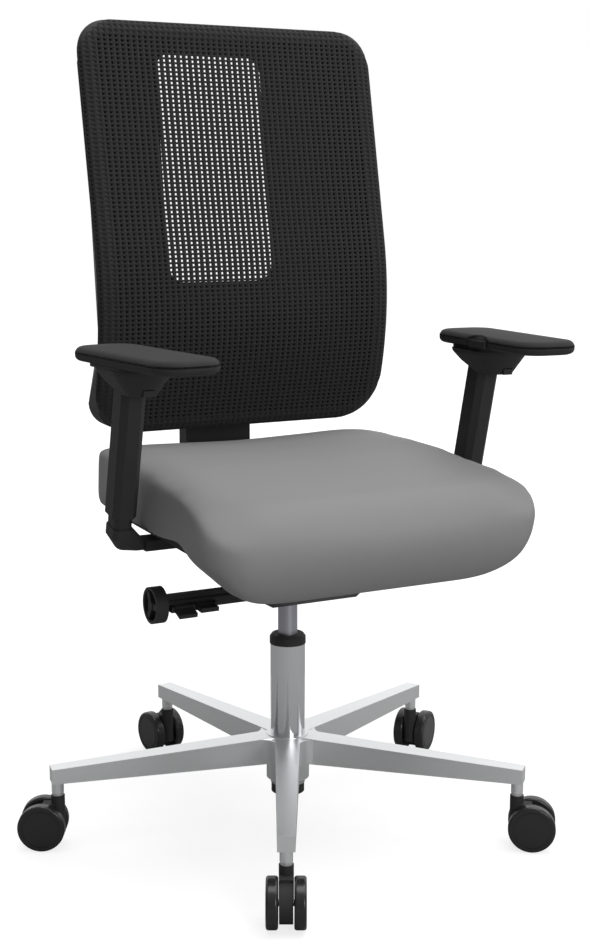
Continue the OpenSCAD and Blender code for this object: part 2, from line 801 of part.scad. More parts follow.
module back_shell() {
    color([0.06, 0.06, 0.06]) difference() {
        union() {
            intersection() {
                difference() {
                    shell_bowl(0);
                    shell_bowl(shell_wall);
                }
                behind_back(frame_t);
            }
            difference() {
                box(-carrier_half - guide_wall - play, carrier_half + guide_wall + play, shell_y - 40,
                    carrier_front + carrier_t + guide_wall + play, guide_low_z, guide_high_z);
                translate([0, shell_y - 2, lumbar_z]) rotate([-shell_lean, 0, 0])
                    box(-big, big, -big, 0, -big, big);
            }
        }
        front(shell_y - 60, 500) window_outline();
        box(-carrier_half - play, carrier_half + play, carrier_front - play, carrier_front + carrier_t + play,
            guide_low_z - 40, guide_high_z + 1);
    }
}

module lumbar_pad() {
    color([0.12, 0.12, 0.12]) {
        intersection() {
            back_band(lumbar_gap, lumbar_gap + lumbar_pad_t);
            front(-100, 500) translate([0, lumbar_z - 30]) rounded(lumbar_pad_w, lumbar_pad_h, 30);
        }
        for (x = [-lumbar_post_x, lumbar_post_x]) difference() {
            translate([x, lumbar_y + 14, lumbar_z - 40]) rotate([-90, 0, 0])
                cylinder(h = shell_y - lumbar_y, d = lumbar_post_d);
            translate([0, shell_y - 1 - shell_wall, lumbar_z]) rotate([-shell_lean, 0, 0])
                box(-big, big, 0, big, -big, big);
        }
    }
}

module back_carrier() {
    hoop = lug_d / 2 + 1;
    color([0.08, 0.08, 0.08]) difference() {
        union() {
            box(-carrier_half, carrier_half, carrier_front, carrier_front + carrier_t, carrier_foot_z, carrier_top_z);
            side(carrier_half) polygon([[carrier_front + 1, carrier_foot_z + 30], [bridge_y[0], bridge_z[1]],
                [bridge_y[0], bridge_z[0]], [carrier_front + 4, carrier_foot_z - 4],
                [carrier_front + carrier_t, carrier_foot_z + 16]]);
            for (s = [-1, 1]) translate([s * lug_x, 0, 0]) {
                side(lug_t / 2) polygon([[back_pivot[0] - 4, back_pivot[1] - hoop], [bridge_y[1], bridge_z[0] - 2],
                    [bridge_y[1], bridge_z[1] + 4], [back_pivot[0] - 4, back_pivot[1] + hoop]]);
                rod_x(-lug_t / 2, lug_t / 2, back_pivot[0], back_pivot[1], 2 * hoop);
            }
            box(-lug_x - lug_t / 2, lug_x + lug_t / 2, bridge_y[0], bridge_y[1], bridge_z[0], bridge_z[1]);
        }
        rod_x(-big / 2, big / 2, back_pivot[0], back_pivot[1], pivot_d + 2 * fit);
    }
}

// ---- castors ----
module castor_housing(i) {
    color([0.06, 0.06, 0.06]) at_castor(i) difference() {
        union() {
            rod_x(-housing_w / 2, housing_w / 2, -trail, wheel_r, wheel_d - housing_inset);
            translate([0, 0, wheel_r - 12]) cylinder(h = neck_top - wheel_r + 12, d = neck_d);
            box(-housing_w / 2, housing_w / 2, -trail, 0, wheel_r, wheel_r + 30);
        }
        rod_x(-housing_w, housing_w, -trail, wheel_r, axle_d + 2 * fit);
        translate([0, 0, wheel_r + stem_foot]) cylinder(h = neck_top, d = stem_d + 2 * fit);
    }
}

module castor_stem(i) {
    color("silver") at_castor(i) {
        translate([0, 0, wheel_r + stem_foot]) cylinder(h = stem_hole_top - wheel_r - stem_foot - 1, d = stem_d);
        translate([0, 0, neck_top + eps]) cylinder(h = flange_t, d = stem_d + 5);
    }
}

module castor_axle(i) {
    half = castor_w / 2 - axle_inset;
    color("silver") at_castor(i) rod_x(-half, half, -trail, wheel_r, axle_d);
}

// A wheel with a rounded tread, a ring groove and a raised disc, inner face at x = 0, outer face at x = wheel_w
module wheel_solid() {
    e = tread_r;
    rotate([0, 90, 0]) difference() {
        rotate_extrude($fn = 64) difference() {
            union() {
                square([wheel_r - e, wheel_w]);
                translate([0, e]) square([wheel_r, wheel_w - 2 * e]);
                for (y = [e, wheel_w - e]) translate([wheel_r - e, y]) circle(e, $fn = 32);
            }
            translate([wheel_r - 8, wheel_w - 1]) square([1.5, 2]);
            translate([-1, -1]) square([axle_d / 2 + fit + 1, wheel_w - 3]);
        }
    }
}

module wheel(i, s) {
    color([0.05, 0.05, 0.05]) at_castor(i) translate([s * (castor_w / 2 - wheel_w), -trail, wheel_r])
        rotate([0, 0, s > 0 ? 0 : 180]) wheel_solid();
}

star_base();
column_tube();
column_collar();
column_clip();
piston_rod();
gas_cylinder();
mechanism_housing();
control_bar();
tension_knob();
height_lever();
tilt_lever();
seat_pan();
seat_cushion();
arm_rail();
rail_bolts();
arm_stem(-1);  // arm_stem_right
arm_stem(1);  // arm_stem_left
back_carrier();
recline_axle();
back_shell();
back_frame();
back_net();
lumbar_pad();
arm_sleeve(-1);  // arm_sleeve_right
arm_sleeve(1);  // arm_sleeve_left
arm_carrier(-1);  // arm_carrier_right
arm_carrier(1);  // arm_carrier_left
height_button(-1);  // height_button_right
height_button(1);  // height_button_left
pad_base(-1);  // pad_base_right
pad_base(1);  // pad_base_left
arm_pad(-1);  // arm_pad_right
arm_pad(1);  // arm_pad_left
pad_button(-1);  // pad_button_right
pad_button(1);  // pad_button_left
for (i = [0:4]) {
    castor_housing(i);
    castor_stem(i);
    castor_axle(i);
    wheel(i, -1);
    wheel(i, 1);
}
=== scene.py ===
"""Office swivel chair: upholstery, stretched net, arm pads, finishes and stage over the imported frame.

Run as a script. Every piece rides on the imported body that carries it; sizes are in metres.
"""

import json
import math

import bpy
import numpy as np
from bpy.props import FloatProperty, FloatVectorProperty, IntProperty, PointerProperty
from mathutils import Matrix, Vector


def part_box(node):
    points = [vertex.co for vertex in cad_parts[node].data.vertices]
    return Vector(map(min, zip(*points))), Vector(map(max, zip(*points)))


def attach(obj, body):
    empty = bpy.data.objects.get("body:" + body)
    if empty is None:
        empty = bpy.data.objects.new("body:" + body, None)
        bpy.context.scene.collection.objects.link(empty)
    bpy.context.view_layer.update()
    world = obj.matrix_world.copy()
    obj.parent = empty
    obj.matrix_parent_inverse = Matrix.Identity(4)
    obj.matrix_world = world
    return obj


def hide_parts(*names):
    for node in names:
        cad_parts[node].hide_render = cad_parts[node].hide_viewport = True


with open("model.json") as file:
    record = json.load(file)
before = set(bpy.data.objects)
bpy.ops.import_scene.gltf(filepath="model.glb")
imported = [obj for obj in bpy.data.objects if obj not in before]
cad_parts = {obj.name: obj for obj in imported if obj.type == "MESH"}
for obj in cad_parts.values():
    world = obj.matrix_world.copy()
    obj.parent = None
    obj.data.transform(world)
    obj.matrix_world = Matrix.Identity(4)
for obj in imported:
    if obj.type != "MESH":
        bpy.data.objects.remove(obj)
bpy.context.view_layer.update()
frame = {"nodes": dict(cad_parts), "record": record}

bl_info = {
    "name": "Office Chair Surfaces",
    "version": (1, 0, 0),
    "blender": (4, 5, 0),
    "location": "3D View > Sidebar > Chair",
    "description": "Builds the upholstery, net, arm pads and finishes of an office swivel chair",
    "category": "Object",
}

NODES = frame["nodes"]
SEAT_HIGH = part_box("seat_cushion")[1]

# The cushion. A pair is where a feature starts and where it is full; places forward are counted along -Y.
SEAT_THICK = 0.089           # from the cushion's top down to its flat underside
FLAT_UNDER = 0.004           # points this near the underside belong to it
FLAT_FRONT = -0.178          # where the flat underside ends
PRESSED_FRONT = -0.17        # where the cover stops lying on the seat pan
PAN_GAP = 0.0006             # air between the cover and the seat pan
REGAIN = 0.8                 # share of the starting inset that is given back after the swell
FORM_ROUNDS = 9              # evening of the whole form
THROAT_ROUNDS = 30           # evening of the roll under the front
THROAT_FORWARD = (0.09, 0.14)
THROAT_HEIGHT = (0.455, 0.485)
TOP_HEIGHT = (0.49, 0.53)    # where the top's shaping starts and is full
DISH = {"back": 0.06, "half_wide": 0.15, "half_long": 0.17}
CORNER_OUT = (0.16, 0.25)
DROP_FORWARD, DROP_HEIGHT = (0.19, 0.28), (0.46, 0.51)
LIFT_FORWARD, LIFT_LONG = 0.160, 0.045
SWELL_HEIGHT = (0.45, 0.50)
SWELL_ROUNDS = 20            # evening of the swell before it is added
COVER_FRAMES = 20            # frames that the cover is pushed out for

# The gathers along the cushion's lower side edges
LOWER_EDGE_FORWARD = [-0.21, 0.06, 0.13, 0.20, 0.26]
LOWER_EDGE_HEIGHT = [0.458, 0.458, 0.440, 0.405, 0.392]
GATHER_PITCH = 0.0132        # from one gather to the next
GATHER_REACH = 0.022         # how far up from the edge they fade
GATHER_START, GATHER_END = (0.0, 0.07), (0.235, 0.275)
GATHER_SLANT = 0.45          # how much they lean forward as they rise

# The net's slack, the lumbar pad's push and the turn over the frame
SLACK = {"deep": 0.0045, "middle": 0.14, "tall": 0.17}
PUSH = {"deep": 0.0035, "middle": -0.035, "tall": 0.055, "half_wide": 0.15}
NET_TURN = math.radians(116)       # how far the net's edge goes round the frame
NET_TURN_MOST = math.radians(118)

# The rim under the net's edge: (inward, deep) of its inner side, after the quarter round that the net lies on
RIM_INSET = 0.0012
RIM_UNDER_NET = 0.0009       # how far under the net's path the rim lies
RIM_SHOULDER = -0.0014
RIM_STEPS = 14               # steps in a quarter of the outline
RIM_SPACING = 0.012
RIM_INNER_SIDE = [(-0.004, 0.0108), (-0.0215, 0.0108), (-0.022, 0.0100), (-0.022, 0.0022), (-0.0212, 0.0010)]

# The arm pads
KEY_Y = -0.002               # middle of the pad's button along the pad
KEY_HALF_LONG = 0.030
KEY_HALF_TALL = 0.0125
KEY_HEIGHT = 0.005           # where the arch over the button starts
KEY_ARCH, KEY_SOFT = 1.12, 0.16   # the arch and its soft edge, as shares of the button's half size
INNER_SIDE = -0.9            # how squarely a point has to face the sitter to take part in the hollow
PAD_SPACING = 0.003
PAD_WAIST = (0.42, 0.50, 0.58)   # extra rings up the side, as shares of the height
PAD_RINGS = (0.9, 0.78, 0.62, 0.44, 0.24, 0.08)  # rings of the top, as shares of its width
PAD_POINT = 0.72             # how much the top's rings draw in along the pad for each share across
PAD_CROWN_FALL = 2.2         # how late the crown falls away to the edge

# The frame's own parts
CREASE = math.radians(32)    # edges sharper than this stay crisp

# Sockets of a mix node by number, since a colour and a number share their names
MIX_FIRST, MIX_SECOND, MIX_COLOUR = 6, 7, 2
MIX_FIRST_VALUE, MIX_SECOND_VALUE = 2, 3


# ---------------------------------------------------------------- sizes and colours
class ChairSeatSizes(bpy.types.PropertyGroup):
    voxel: FloatProperty(name="Grain of the form",
                         description="Edge length of the even mesh that is inflated",
                         default=0.006, min=0.004, max=0.01, unit="LENGTH")
    start_inset: FloatProperty(name="Starting inset",
                               description="How much smaller the form starts than its space",
                               default=0.004, min=0.0, max=0.02, unit="LENGTH")
    swell_cap: FloatProperty(name="Most swell", description="Furthest that a point of the cover may move",
                             default=0.016, min=0.005, max=0.03, unit="LENGTH")
    swell_share: FloatProperty(name="Share of the swell", description="How much of the swell the foam keeps",
                               default=0.3, min=0.0, max=1.0)
    pressure: FloatProperty(name="Pressure", description="Pressure of the foam against the cover",
                            default=4.0, min=0.5, max=10.0)
    dish: FloatProperty(name="Dish", description="Depth of the hollow where the sitter sits",
                        default=0.007, min=0.0, max=0.02, unit="LENGTH")
    corner_drop: FloatProperty(name="Corner drop", description="How far the upper front corners fall away",
                               default=0.013, min=0.0, max=0.03, unit="LENGTH")
    corner_lift: FloatProperty(name="Corner lift",
                               description="How much fuller the sides are before the corners",
                               default=0.005, min=0.0, max=0.01, unit="LENGTH")
    pucker: FloatProperty(name="Pucker height",
                          description="Height of the small gathers along the lower edge",
                          default=0.0016, min=0.0, max=0.004, unit="LENGTH")


class ChairNetSizes(bpy.types.PropertyGroup):
    pitch_x: FloatProperty(name="Column pitch", description="Distance between neighbouring ribs of the net",
                           default=0.0088, min=0.006, max=0.02, unit="LENGTH")
    pitch_z: FloatProperty(name="Row pitch", description="Distance between neighbouring bars of the net",
                           default=0.0063, min=0.004, max=0.02, unit="LENGTH")
    hole_x: FloatProperty(name="Hole width", description="Clear width of one hole",
                          default=0.0028, min=0.002, max=0.01, unit="LENGTH")
    hole_z: FloatProperty(name="Hole height", description="Clear height of one hole",
                          default=0.0030, min=0.002, max=0.01, unit="LENGTH")
    rib: FloatProperty(name="Rib height", description="How far the ribs stand proud of the bars",
                       default=0.0011, min=0.0, max=0.003, unit="LENGTH")
    thickness: FloatProperty(name="Thickness", description="Thickness of the yarn",
                             default=0.0012, min=0.0004, max=0.002, unit="LENGTH")
    roll_across: FloatProperty(name="Edge roll across",
                               description="How far in from the edge the net starts to turn back",
                               default=0.018, min=0.008, max=0.03, unit="LENGTH")
    roll_deep: FloatProperty(name="Edge roll depth", description="How far back the net turns over the frame",
                             default=0.0095, min=0.004, max=0.02, unit="LENGTH")


class ChairPadSizes(bpy.types.PropertyGroup):
    crown: FloatProperty(name="Crown", description="Height of the soft crown on top of an arm pad",
                         default=0.0022, min=0.0, max=0.006, unit="LENGTH")
    edge: FloatProperty(name="Edge radius", description="Radius of the pad's upper and lower edges",
                        default=0.0092, min=0.002, max=0.01, unit="LENGTH")
    width: FloatProperty(name="Width", description="Width of a pad",
                         default=0.090, min=0.06, max=0.11, unit="LENGTH")
    length: FloatProperty(name="Length", description="Length of a pad",
                          default=0.266, min=0.2, max=0.3, unit="LENGTH")
    corner: FloatProperty(name="Corner radius", description="Radius of the pad's corners from above",
                          default=0.034, min=0.01, max=0.045, unit="LENGTH")
    turn_in: FloatProperty(name="Turn in", description="How far the pads turn in at the front",
                           default=math.radians(5), subtype="ANGLE")
    recess: FloatProperty(name="Button recess",
                          description="Depth of the arched hollow round the pad's button",
                          default=0.0036, min=0.0, max=0.006, unit="LENGTH")
    around: IntProperty(name="Points around", description="Points around the outline of a pad",
                        default=112, min=48, max=256)


class ChairFinishes(bpy.types.PropertyGroup):
    fabric: FloatVectorProperty(name="Seat fabric", description="Colour of the seat fabric",
                                subtype="COLOR", default=(0.175, 0.175, 0.177))
    net: FloatVectorProperty(name="Net", description="Colour of the net",
                             subtype="COLOR", default=(0.0040, 0.0040, 0.0045))
    plastic: FloatVectorProperty(name="Moulded plastic", description="Colour of the moulded parts",
                                 subtype="COLOR", default=(0.0042, 0.0042, 0.0044))
    pad: FloatVectorProperty(name="Arm pad", description="Colour of the soft arm pads",
                             subtype="COLOR", default=(0.0036, 0.0036, 0.0035))
    coat: FloatVectorProperty(name="Powder coat", description="Colour of the coated metal",
                              subtype="COLOR", default=(0.0055, 0.0055, 0.0058))
    aluminium: FloatVectorProperty(name="Polished aluminium", description="Colour of the star base",
                                   subtype="COLOR", default=(0.83, 0.83, 0.86))
    chrome: FloatVectorProperty(name="Chrome", description="Colour of the column tube",
                                subtype="COLOR", default=(0.80, 0.80, 0.81))
    steel: FloatVectorProperty(name="Ground steel", description="Colour of the gas spring",
                               subtype="COLOR", default=(0.46, 0.45, 0.51))
    plated: FloatVectorProperty(name="Plated steel", description="Colour of pins and screws",
                                subtype="COLOR", default=(0.62, 0.62, 0.62))
    nylon: FloatVectorProperty(name="Castor nylon", description="Colour of the castor wheels",
                               subtype="COLOR", default=(0.0045, 0.0045, 0.0047))


class ChairStageSizes(bpy.types.PropertyGroup):
    floor_radius: FloatProperty(name="Floor radius", description="Radius of the round floor",
                                default=9.0, min=2.0, max=40.0, unit="LENGTH")
    floor_shade: FloatVectorProperty(name="Floor", description="Colour of the floor before its glow",
                                     subtype="COLOR", default=(0.34, 0.34, 0.34))
    camera_place: FloatVectorProperty(name="Camera", description="Place of the camera",
                                      subtype="TRANSLATION", default=(-1.021, -1.9476, 0.897))
    camera_pitch: FloatProperty(name="Camera pitch", description="How far the camera looks down",
                                default=math.radians(9.9), subtype="ANGLE")
    camera_turn: FloatProperty(name="Camera turn", description="Turn of the camera about the vertical",
                               default=math.radians(-27.92), subtype="ANGLE")
    lens: FloatProperty(name="Lens", description="Focal length for a 36 mm sensor, in millimetres",
                        default=60.14, min=20.0, max=200.0)
    top: FloatProperty(name="Top light", description="Power of the overhead softbox in watts",
                       default=62.0, min=0.0, max=500.0)
    key: FloatProperty(name="Key light", description="Power of the front softbox in watts",
                       default=32.0, min=0.0, max=500.0)
    fill: FloatProperty(name="Fill light", description="Power of the side softbox in watts",
                        default=14.0, min=0.0, max=500.0)


GROUPS = {
    "chair_seat": ChairSeatSizes,
    "chair_net": ChairNetSizes,
    "chair_pads": ChairPadSizes,
    "chair_finishes": ChairFinishes,
    "chair_stage": ChairStageSizes,
}


# ---------------------------------------------------------------- mesh helpers
def new_piece(name, points, faces, smooth=True):
    """A mesh object in the scene from points and faces."""
    mesh = bpy.data.meshes.new(name)
    mesh.from_pydata([tuple(map(float, p)) for p in points], [], [tuple(int(i) for i in f) for f in faces])
    mesh.validate()
    mesh.polygons.foreach_set("use_smooth", [smooth] * len(mesh.polygons))
    mesh.update()
    piece = bpy.data.objects.new(name, mesh)
    bpy.context.scene.collection.objects.link(piece)
    return piece


def settled_mesh(piece, name):
    """The piece's mesh with its modifiers applied, as a new mesh."""
    graph = bpy.context.evaluated_depsgraph_get()
    mesh = bpy.data.meshes.new_from_object(piece.evaluated_get(graph), depsgraph=graph)
    mesh.name = name
    return mesh


def points_of(mesh):
    """The mesh's points as rows of x, y, z."""
    flat = np.empty(len(mesh.vertices) * 3, np.float32)
    mesh.vertices.foreach_get("co", flat)
    return flat.reshape(-1, 3).astype(float)


def normals_of(mesh):
    """The mesh's normals at its points."""
    flat = np.empty(len(mesh.vertices) * 3, np.float32)
    mesh.vertices.foreach_get("normal", flat)
    return flat.reshape(-1, 3).astype(float)


def set_points(mesh, points):
    """Moves the mesh's points to new places."""
    mesh.vertices.foreach_set("co", points.astype(np.float32).ravel())
    mesh.update()


def relaxed(mesh, points, rounds, share=0.5, hold=None):
    """Points evened out over the mesh's edges; hold is 1 where a point stays put."""
    pairs = np.empty(len(mesh.edges) * 2, np.int32)
    mesh.edges.foreach_get("vertices", pairs)
    a, b = pairs.reshape(-1, 2).T
    count = np.bincount(a, minlength=len(points)) + np.bincount(b, minlength=len(points))
    free = 1.0 if hold is None else (1.0 - hold)[:, None]
    for _ in range(rounds):
        total = np.zeros_like(points)
        np.add.at(total, a, points[b])
        np.add.at(total, b, points[a])
        points = points + (total / np.maximum(count, 1)[:, None] - points) * share * free
    return points


def step(values, low, high):
    """Smooth step from 0 at low to 1 at high."""
    t = np.clip((values - low) / (high - low), 0.0, 1.0)
    return t * t * (3 - 2 * t)


def filled(path, spacing):
    """A closed path of (x, y, way x, way y) rows with rows added between those further apart than spacing."""
    dense = []
    for k, here in enumerate(path):
        there = path[(k + 1) % len(path)]
        parts = max(1, int(math.hypot(there[0] - here[0], there[1] - here[1]) / spacing))
        for f in range(parts):
            dense.append(tuple(a + (b - a) * f / parts for a, b in zip(here, there)))
    return dense


def banded(rows, around, closed=False):
    """Faces between rows of points that each go round once; closed joins the last row to the first."""
    faces = []
    for i in range(rows if closed else rows - 1):
        this, following = i * around, (i + 1) % rows * around
        for j in range(around):
            after = (j + 1) % around
            faces.append((this + j, this + after, following + after, following + j))
    return faces


# ---------------------------------------------------------------- finishes
def put(tree, kind, links=None, **values):
    """Adds a shader node; values set its sockets or, where no socket has that name, its settings."""
    shader = tree.nodes.new(kind)
    for key, value in values.items():
        name = key.replace("_", " ").title()
        if name in shader.inputs and not hasattr(type(shader), key):
            shader.inputs[name].default_value = value
        else:
            setattr(shader, key, value)
    for socket, source in (links or {}).items():
        tree.links.new(source, shader.inputs[socket])
    return shader


def new_finish(name, colour, metallic=0.0, **sockets):
    """A finish, its node tree and its shader; sockets gives values for the shader's other sockets."""
    finish = bpy.data.materials.new(name)
    finish.use_nodes = True
    shader = finish.node_tree.nodes["Principled BSDF"]
    shader.inputs["Base Color"].default_value = (*colour, 1.0)
    shader.inputs["Metallic"].default_value = metallic
    for key, value in sockets.items():
        shader.inputs[key.replace("_", " ").title().replace("Ior", "IOR")].default_value = value
    finish.diffuse_color = (*colour, 1.0)
    return finish, finish.node_tree, shader


def mottle(tree, place, colour, spread, scale):
    """A colour that drifts a little over the surface."""
    noise = put(tree, "ShaderNodeTexNoise", {"Vector": place}, scale=scale, detail=3.0)
    ramp = put(tree, "ShaderNodeMix", data_type="RGBA")
    tree.links.new(noise.outputs["Fac"], ramp.inputs["Factor"])
    ramp.inputs[MIX_FIRST].default_value = (*[c * (1 - spread) for c in colour], 1.0)
    ramp.inputs[MIX_SECOND].default_value = (*[min(1.0, c * (1 + spread)) for c in colour], 1.0)
    return ramp.outputs[MIX_COLOUR]


def varied(tree, place, low, high, scale, detail=3.0):
    """A value between low and high that drifts over the surface."""
    noise = put(tree, "ShaderNodeTexNoise", {"Vector": place}, scale=scale, detail=detail)
    spread = put(tree, "ShaderNodeMapRange", {"Value": noise.outputs["Fac"]})
    spread.inputs["From Min"].default_value, spread.inputs["From Max"].default_value = 0.3, 0.7
    spread.inputs["To Min"].default_value, spread.inputs["To Max"].default_value = low, high
    return spread.outputs["Result"]


def rounded_edges(tree, radius):
    """Normals that soften the edges by a radius."""
    edge = put(tree, "ShaderNodeBevel", samples=4)
    edge.inputs["Radius"].default_value = radius
    return edge.outputs["Normal"]


def bumped(tree, height, strength, distance, normal=None):
    """Normals that follow a height, over other normals where they are given."""
    bump = put(tree, "ShaderNodeBump", {"Height": height})
    bump.inputs["Strength"].default_value = strength
    bump.inputs["Distance"].default_value = distance
    if normal is not None:
        tree.links.new(normal, bump.inputs["Normal"])
    return bump.outputs["Normal"]


def moulded_finish(name, colour, rough, grain, depth, edge=0.0009, **sockets):
    """Moulded plastic with an eroded grain and softened edges."""
    finish, tree, shader = new_finish(name, colour, **sockets)
    place = put(tree, "ShaderNodeTexCoord").outputs["Object"]
    tree.links.new(mottle(tree, place, colour, 0.12, 14.0), shader.inputs["Base Color"])
    tree.links.new(varied(tree, place, rough - 0.05, rough + 0.06, 22.0), shader.inputs["Roughness"])
    speck = put(tree, "ShaderNodeTexNoise", {"Vector": place}, scale=grain, detail=2.0)
    grained = bumped(tree, speck.outputs["Fac"], 0.5, depth, rounded_edges(tree, edge))
    tree.links.new(grained, shader.inputs["Normal"])
    return finish


def coated_finish(name, colour):
    """Powder coat: a fine orange peel over metal."""
    finish, tree, shader = new_finish(name, colour, specular_ior_level=0.2)
    place = put(tree, "ShaderNodeTexCoord").outputs["Object"]
    tree.links.new(mottle(tree, place, colour, 0.1, 9.0), shader.inputs["Base Color"])
    tree.links.new(varied(tree, place, 0.30, 0.40, 18.0), shader.inputs["Roughness"])
    peel = put(tree, "ShaderNodeTexNoise", {"Vector": place}, scale=420.0, detail=1.0)
    peeled = bumped(tree, peel.outputs["Fac"], 0.35, 0.0004, rounded_edges(tree, 0.0008))
    tree.links.new(peeled, shader.inputs["Normal"])
    return finish


def polished_finish(name, colour, low, high, wave, edge):
    """Polished casting: near-mirror, with the slight waver that hand polishing leaves."""
    finish, tree, shader = new_finish(name, colour, metallic=1.0)
    place = put(tree, "ShaderNodeTexCoord").outputs["Object"]
    tree.links.new(mottle(tree, place, colour, 0.03, 6.0), shader.inputs["Base Color"])
    tree.links.new(varied(tree, place, low, high, 30.0, 5.0), shader.inputs["Roughness"])
    waver = put(tree, "ShaderNodeTexNoise", {"Vector": place}, scale=38.0, detail=1.5)
    fine = put(tree, "ShaderNodeTexNoise", {"Vector": place}, scale=700.0, detail=1.0)
    first = bumped(tree, waver.outputs["Fac"], 0.25, wave, rounded_edges(tree, edge))
    tree.links.new(bumped(tree, fine.outputs["Fac"], 0.05, 0.0002, first), shader.inputs["Normal"])
    return finish


def turned_finish(name, colour, low, high, pitch):
    """Ground or turned metal: fine rings across the axis of a bar."""
    finish, tree, shader = new_finish(name, colour, metallic=1.0)
    place = put(tree, "ShaderNodeTexCoord").outputs["Object"]
    tree.links.new(mottle(tree, place, colour, 0.05, 10.0), shader.inputs["Base Color"])
    stretch = put(tree, "ShaderNodeMapping", {"Vector": place})
    stretch.inputs["Scale"].default_value = (8.0, 8.0, 1.0 / pitch)
    lines = put(tree, "ShaderNodeTexNoise", {"Vector": stretch.outputs["Vector"]}, scale=1.0, detail=3.0)
    spread = put(tree, "ShaderNodeMapRange", {"Value": lines.outputs["Fac"]})
    spread.inputs["To Min"].default_value, spread.inputs["To Max"].default_value = low, high
    tree.links.new(spread.outputs["Result"], shader.inputs["Roughness"])
    ringed = bumped(tree, lines.outputs["Fac"], 0.12, 0.0001, rounded_edges(tree, 0.0005))
    tree.links.new(ringed, shader.inputs["Normal"])
    return finish


def sine_of(tree, source, turns_per_metre):
    """A wave along a place, with that many crests to the metre."""
    wave = put(tree, "ShaderNodeMath", {0: source}, operation="MULTIPLY")
    wave.inputs[1].default_value = 2 * math.pi * turns_per_metre
    return put(tree, "ShaderNodeMath", {0: wave.outputs[0]}, operation="SINE").outputs[0]


def combined(tree, kind, first, second):
    """Two values added, subtracted or multiplied."""
    return put(tree, "ShaderNodeMath", {0: first, 1: second}, operation=kind).outputs[0]


def fabric_finish(name, colour):
    """Fine twill: two sets of threads on the diagonal, fuzz over them, and cloudy shade changes."""
    finish, tree, shader = new_finish(name, colour, roughness=0.86, sheen_weight=0.22, sheen_roughness=0.45,
                                      specular_ior_level=0.25)
    place = put(tree, "ShaderNodeTexCoord").outputs["Object"]
    axes = put(tree, "ShaderNodeSeparateXYZ", {"Vector": place})
    along = combined(tree, "SUBTRACT", axes.outputs["Y"], axes.outputs["Z"])
    threads = 560.0
    warp = sine_of(tree, combined(tree, "ADD", axes.outputs["X"], along), threads)
    weft = sine_of(tree, combined(tree, "SUBTRACT", axes.outputs["X"], along), threads)
    weave = combined(tree, "MULTIPLY", warp, weft)
    fuzz = put(tree, "ShaderNodeTexNoise", {"Vector": place}, scale=1500.0, detail=3.0)
    height = combined(tree, "ADD", weave, fuzz.outputs["Fac"])
    cloud = put(tree, "ShaderNodeTexNoise", {"Vector": place}, scale=7.0, detail=4.0)
    shade = put(tree, "ShaderNodeMix", {"Factor": fuzz.outputs["Fac"]}, data_type="RGBA")
    shade.inputs[MIX_FIRST].default_value = (*[c * 0.62 for c in colour], 1.0)
    shade.inputs[MIX_SECOND].default_value = (*[c * 1.38 for c in colour], 1.0)
    tone = put(tree, "ShaderNodeMapRange", {"Value": cloud.outputs["Fac"]})
    tone.inputs["To Min"].default_value, tone.inputs["To Max"].default_value = 0.94, 1.06
    both = {0: shade.outputs[MIX_COLOUR], 1: tone.outputs[0]}
    tinted = put(tree, "ShaderNodeVectorMath", both, operation="MULTIPLY")
    tree.links.new(tinted.outputs[0], shader.inputs["Base Color"])
    tree.links.new(varied(tree, place, 0.78, 0.94, 300.0), shader.inputs["Roughness"])
    tree.links.new(bumped(tree, height, 0.45, 0.0005), shader.inputs["Normal"])
    return finish


def net_finish(name, colour):
    """Knitted yarn: fine loops along the ribs."""
    finish, tree, shader = new_finish(name, colour, specular_ior_level=0.10)
    place = put(tree, "ShaderNodeTexCoord").outputs["Object"]
    axes = put(tree, "ShaderNodeSeparateXYZ", {"Vector": place})
    across, down = sine_of(tree, axes.outputs["X"], 620.0), sine_of(tree, axes.outputs["Z"], 460.0)
    loops = combined(tree, "MULTIPLY", across, down)
    fuzz = put(tree, "ShaderNodeTexNoise", {"Vector": place}, scale=1300.0, detail=2.0)
    height = combined(tree, "ADD", loops, fuzz.outputs["Fac"])
    tree.links.new(mottle(tree, place, colour, 0.35, 900.0), shader.inputs["Base Color"])
    tree.links.new(varied(tree, place, 0.40, 0.62, 260.0), shader.inputs["Roughness"])
    tree.links.new(bumped(tree, height, 0.5, 0.0004), shader.inputs["Normal"])
    return finish


def pad_finish(name, colour):
    """Soft polyurethane skin: fine leather-like cells and a satin sheen."""
    finish, tree, shader = new_finish(name, colour, specular_ior_level=0.20)
    place = put(tree, "ShaderNodeTexCoord").outputs["Object"]
    cells = put(tree, "ShaderNodeTexVoronoi", {"Vector": place}, scale=760.0)
    fine = put(tree, "ShaderNodeTexNoise", {"Vector": place}, scale=1500.0, detail=2.0)
    height = combined(tree, "ADD", cells.outputs["Distance"], fine.outputs["Fac"])
    tree.links.new(mottle(tree, place, colour, 0.15, 12.0), shader.inputs["Base Color"])
    tree.links.new(varied(tree, place, 0.27, 0.36, 16.0), shader.inputs["Roughness"])
    tree.links.new(bumped(tree, height, 0.22, 0.00022), shader.inputs["Normal"])
    return finish


def wheel_finish(name, colour):
    """Glossy nylon with fine running marks."""
    finish, tree, shader = new_finish(name, colour, coat_weight=0.08, coat_roughness=0.12,
                                      specular_ior_level=0.25)
    place = put(tree, "ShaderNodeTexCoord").outputs["Object"]
    tree.links.new(mottle(tree, place, colour, 0.15, 20.0), shader.inputs["Base Color"])
    tree.links.new(varied(tree, place, 0.24, 0.36, 45.0, 6.0), shader.inputs["Roughness"])
    marks = put(tree, "ShaderNodeTexNoise", {"Vector": place}, scale=240.0, detail=4.0)
    marked = bumped(tree, marks.outputs["Fac"], 0.12, 0.0003, rounded_edges(tree, 0.001))
    tree.links.new(marked, shader.inputs["Normal"])
    return finish


